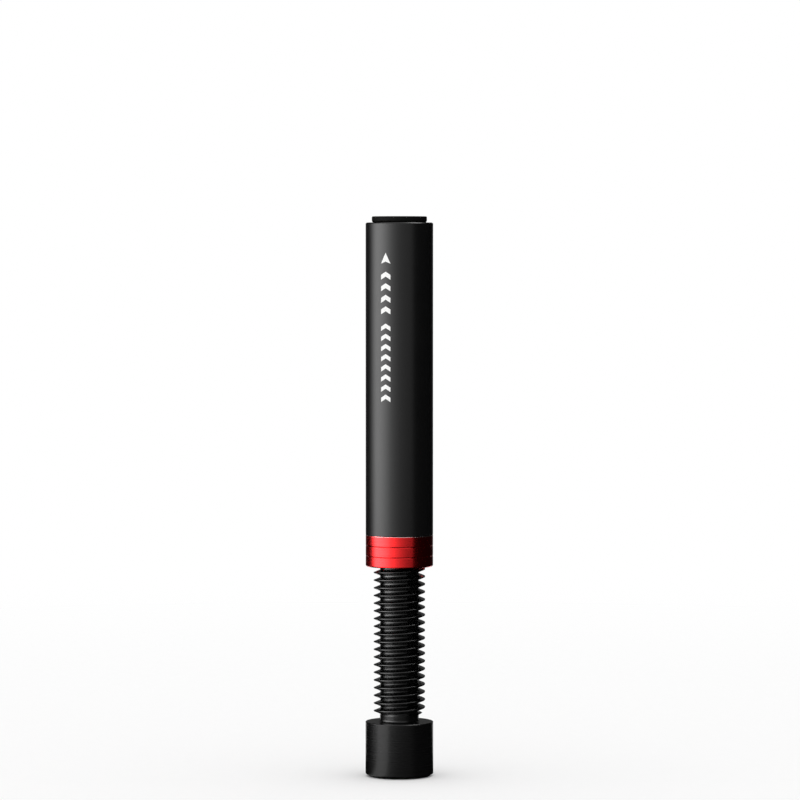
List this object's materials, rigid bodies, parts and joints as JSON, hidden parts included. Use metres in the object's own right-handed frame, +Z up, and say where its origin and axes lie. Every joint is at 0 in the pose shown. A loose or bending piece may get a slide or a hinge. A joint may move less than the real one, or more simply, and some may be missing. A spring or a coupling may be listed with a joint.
{
  "type": "graphics card support bracket",
  "caption": "Screw-jack bracket that props up the end of a graphics card: black barrel with a rubber tip, red lock ring, threaded rod and round foot.",
  "frame": {"origin": "centre of the foot pad's underside, on the floor", "axes": "+Z up along the screw's axis, -Y towards the viewer of the picture, with the printed strip on the barrel's front left"},
  "size_m": [0.0132, 0.0132, 0.1089],
  "materials": {
    "black_anodised": "satin black anodised",
    "black_matte_metal": "matte black anodised, turned",
    "red_anodised": "bright red anodised, fine turning lines",
    "black_rubber": "soft matte",
    "nickel_plate": "plain nickel plating"
  },
  "bodies": {
    "base": {"foot_screw": "black_matte_metal", "foot_magnet": "nickel_plate", "foot_pad": "black_rubber"},
    "tip": {"rubber_tip": "black_rubber"},
    "barrel": {"barrel": "black_anodised"},
    "ring": {"lock_ring": "red_anodised"}
  },
  "joints": [
    {"name": "rise", "type": "slide", "parent": "base", "child": "tip", "axis": [0, 0, 1], "range_m": [-0.0282, 0.009]},
    {"name": "barrel_turn", "type": "hinge", "parent": "tip", "child": "barrel", "pos_m": [0, 0, 0.1077], "axis": [0, 0, 1], "range_deg": [-6768, 2160]},
    {"name": "ring_back_off", "type": "slide", "parent": "barrel", "child": "ring", "axis": [0, 0, 1], "range_m": [-0.0015, 0]}
  ],
  "couplings": [
    {"joint": "rise", "follows": "barrel_turn", "m_per_rad": 0.00023873}
  ]
}
